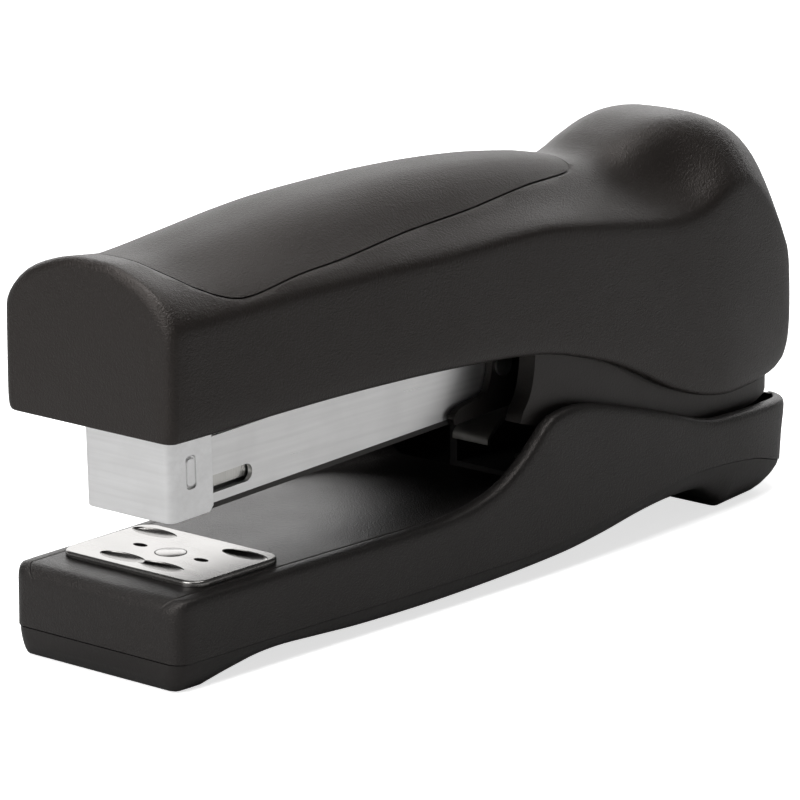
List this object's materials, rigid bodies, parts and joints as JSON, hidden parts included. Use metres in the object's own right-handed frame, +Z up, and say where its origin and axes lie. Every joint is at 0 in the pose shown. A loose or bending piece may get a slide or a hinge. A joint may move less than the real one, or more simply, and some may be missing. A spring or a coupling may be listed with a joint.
{
  "type": "desk stapler",
  "caption": "Compact half-strip desk stapler with an arched handle, steel magazine, turning anvil plate and winged base.",
  "frame": {"origin": "middle of the footprint, on the surface that the feet stand on", "axes": "+X from the nose towards the hinge end, +Y across to the stapler's right seen from the nose, +Z up"},
  "size_m": [0.15, 0.0364, 0.0624],
  "materials": {
    "cover_plastic": "fine grained moulded plastic, near black",
    "grip_rubber": "soft-touch grip panel, near black",
    "base_plastic": "fine grained moulded plastic, near black",
    "sole_rubber": "matte non-slip sole, black",
    "frame_plastic": "satin moulded plastic, near black",
    "satin_steel": "satin rolled sheet steel, bright",
    "dark_steel": "blackened sheet steel",
    "anvil_nickel": "bright nickel plate",
    "spring_steel": "oiled spring steel",
    "screw_steel": "zinc plated steel",
    "staple_wire": "bright galvanised wire"
  },
  "bodies": {
    "root": {"base_shell": "base_plastic", "base_sole": "sole_rubber", "sole_screws": "screw_steel", "hinge_bracket": "dark_steel", "bracket_screws": "screw_steel", "hinge_pin": "screw_steel", "lift_spring": "spring_steel", "anvil_spring": "spring_steel"},
    "anvil_post": {"anvil_button": "frame_plastic"},
    "anvil": {"anvil_plate": "anvil_nickel", "anvil_rivet": "anvil_nickel"},
    "magazine": {"magazine_channel": "satin_steel", "bottom_strip": "dark_steel", "nose_guide": "satin_steel", "staple_rail": "satin_steel", "staple_strip": "staple_wire", "guide_rod": "satin_steel", "rod_stop": "frame_plastic", "magazine_carrier": "dark_steel", "carrier_rivets": "screw_steel", "pusher_spring": "spring_steel"},
    "pusher": {"pusher": "frame_plastic"},
    "handle": {"handle_cover": "cover_plastic", "grip_panel": "grip_rubber", "handle_frame": "frame_plastic", "frame_screws": "screw_steel", "driver_blade": "satin_steel", "driver_rivets": "screw_steel", "press_spring": "spring_steel"}
  },
  "joints": [
    {"name": "magazine_swing", "type": "hinge", "parent": "root", "child": "magazine", "pos_m": [0.063, 0, 0.03], "axis": [0, 1, 0], "range_deg": [-3, 10], "stiffness_Nm_per_rad": 6, "springref_deg": 0.66, "deforming": ["lift_spring"]},
    {"name": "handle_swing", "type": "hinge", "parent": "magazine", "child": "handle", "pos_m": [0.063, 0, 0.03], "axis": [0, 1, 0], "range_deg": [-4, 50], "stiffness_Nm_per_rad": 5, "springref_deg": 0.32, "deforming": ["press_spring"]},
    {"name": "pusher_slide", "type": "slide", "parent": "magazine", "child": "pusher", "axis": [0.9994, 0, 0.0358], "range_m": [0, 0.024], "stiffness_N_per_m": 40, "springref_m": -0.015, "deforming": ["pusher_spring"]},
    {"name": "anvil_lift", "type": "slide", "parent": "root", "child": "anvil_post", "axis": [0, 0, 1], "range_m": [0, 0.0015], "stiffness_N_per_m": 300, "springref_m": -0.002, "deforming": ["anvil_spring"]},
    {"name": "anvil_turn", "type": "hinge", "parent": "anvil_post", "child": "anvil", "pos_m": [-0.05825, 0, 0], "axis": [0, 0, 1], "range_deg": [0, 180]}
  ]
}
